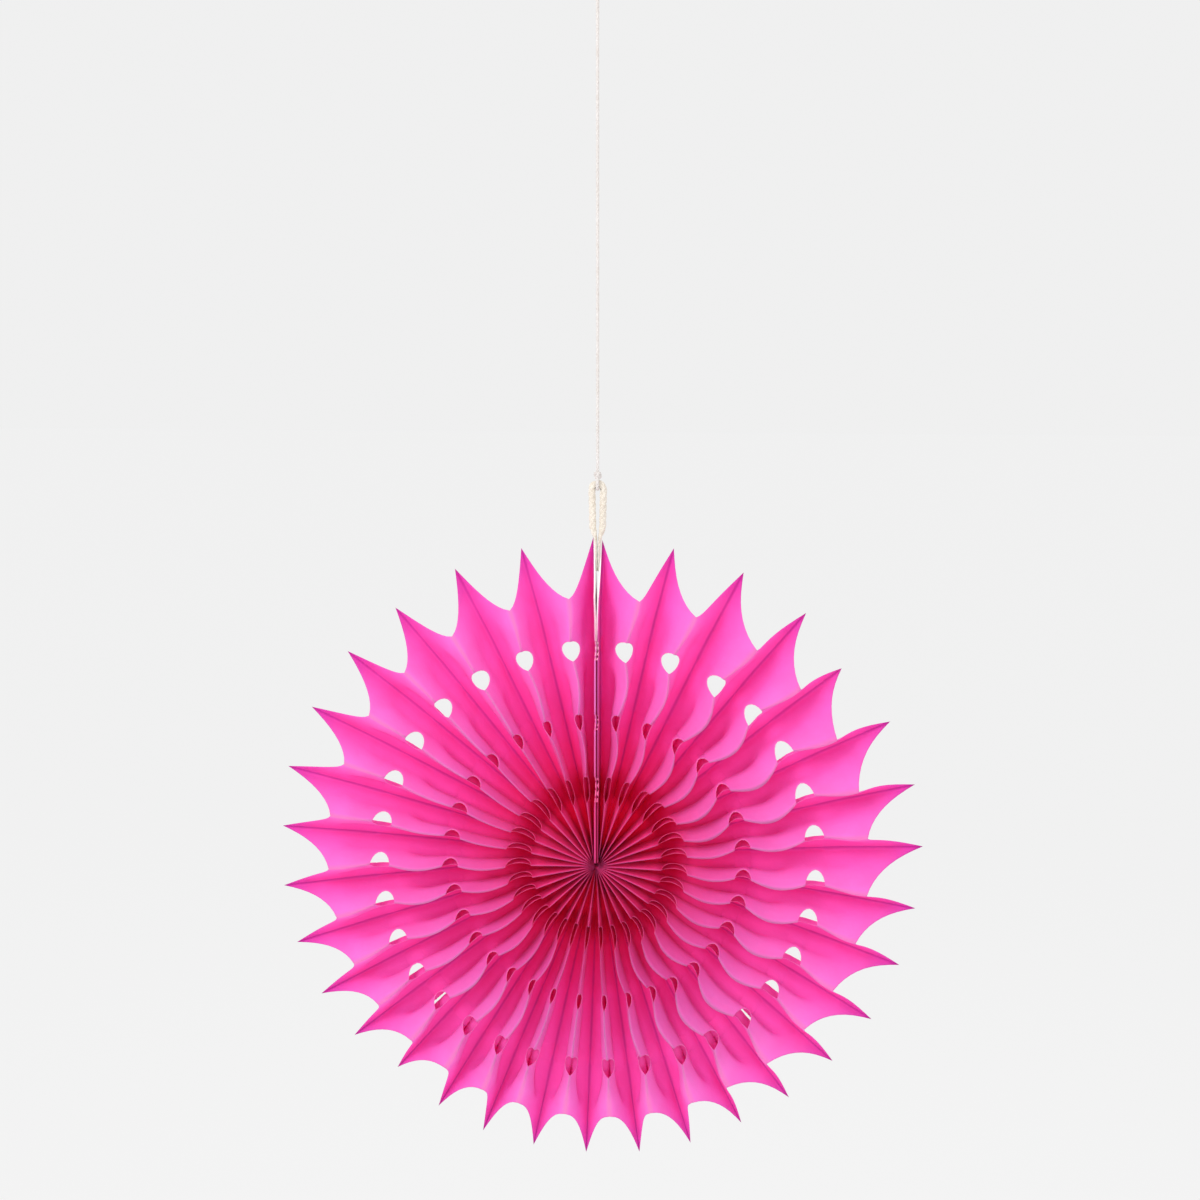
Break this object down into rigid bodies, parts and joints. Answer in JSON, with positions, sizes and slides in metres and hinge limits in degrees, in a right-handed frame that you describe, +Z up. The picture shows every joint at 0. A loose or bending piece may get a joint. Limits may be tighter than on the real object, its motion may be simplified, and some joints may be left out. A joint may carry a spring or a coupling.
{
  "type": "paper fan rosette",
  "caption": "Hanging paper fan rosette: a die-cut tissue accordion opened into a full circle of pointed petals with eye holes, closed by two end cards, on a taut cotton string.",
  "frame": {"origin": "the inside top of the string's loop, the point that the rosette hangs from", "axes": "+Z up along the string, -Y out of the rosette's face, +X to the right of someone who looks at the face"},
  "size_m": [0.3992, 0.025, 0.7951],
  "materials": {
    "tissue": "dyed tissue, matt and slightly translucent",
    "card": "uncoated white board",
    "adhesive": "double-sided tape",
    "thread": "twisted cotton thread",
    "loop_cord": "soft twisted cotton cord",
    "string": "twisted cotton string"
  },
  "bodies": {
    "root": {"pleated_tissue": "tissue", "end_card_left": "card", "end_card_right": "card", "adhesive_strip_inner": "adhesive", "adhesive_strip_outer": "adhesive", "hub_thread": "thread", "hang_loop": "loop_cord", "string_hitch": "string", "hanging_string": "string", "string_top_loop": "string"}
  },
  "joints": []
}
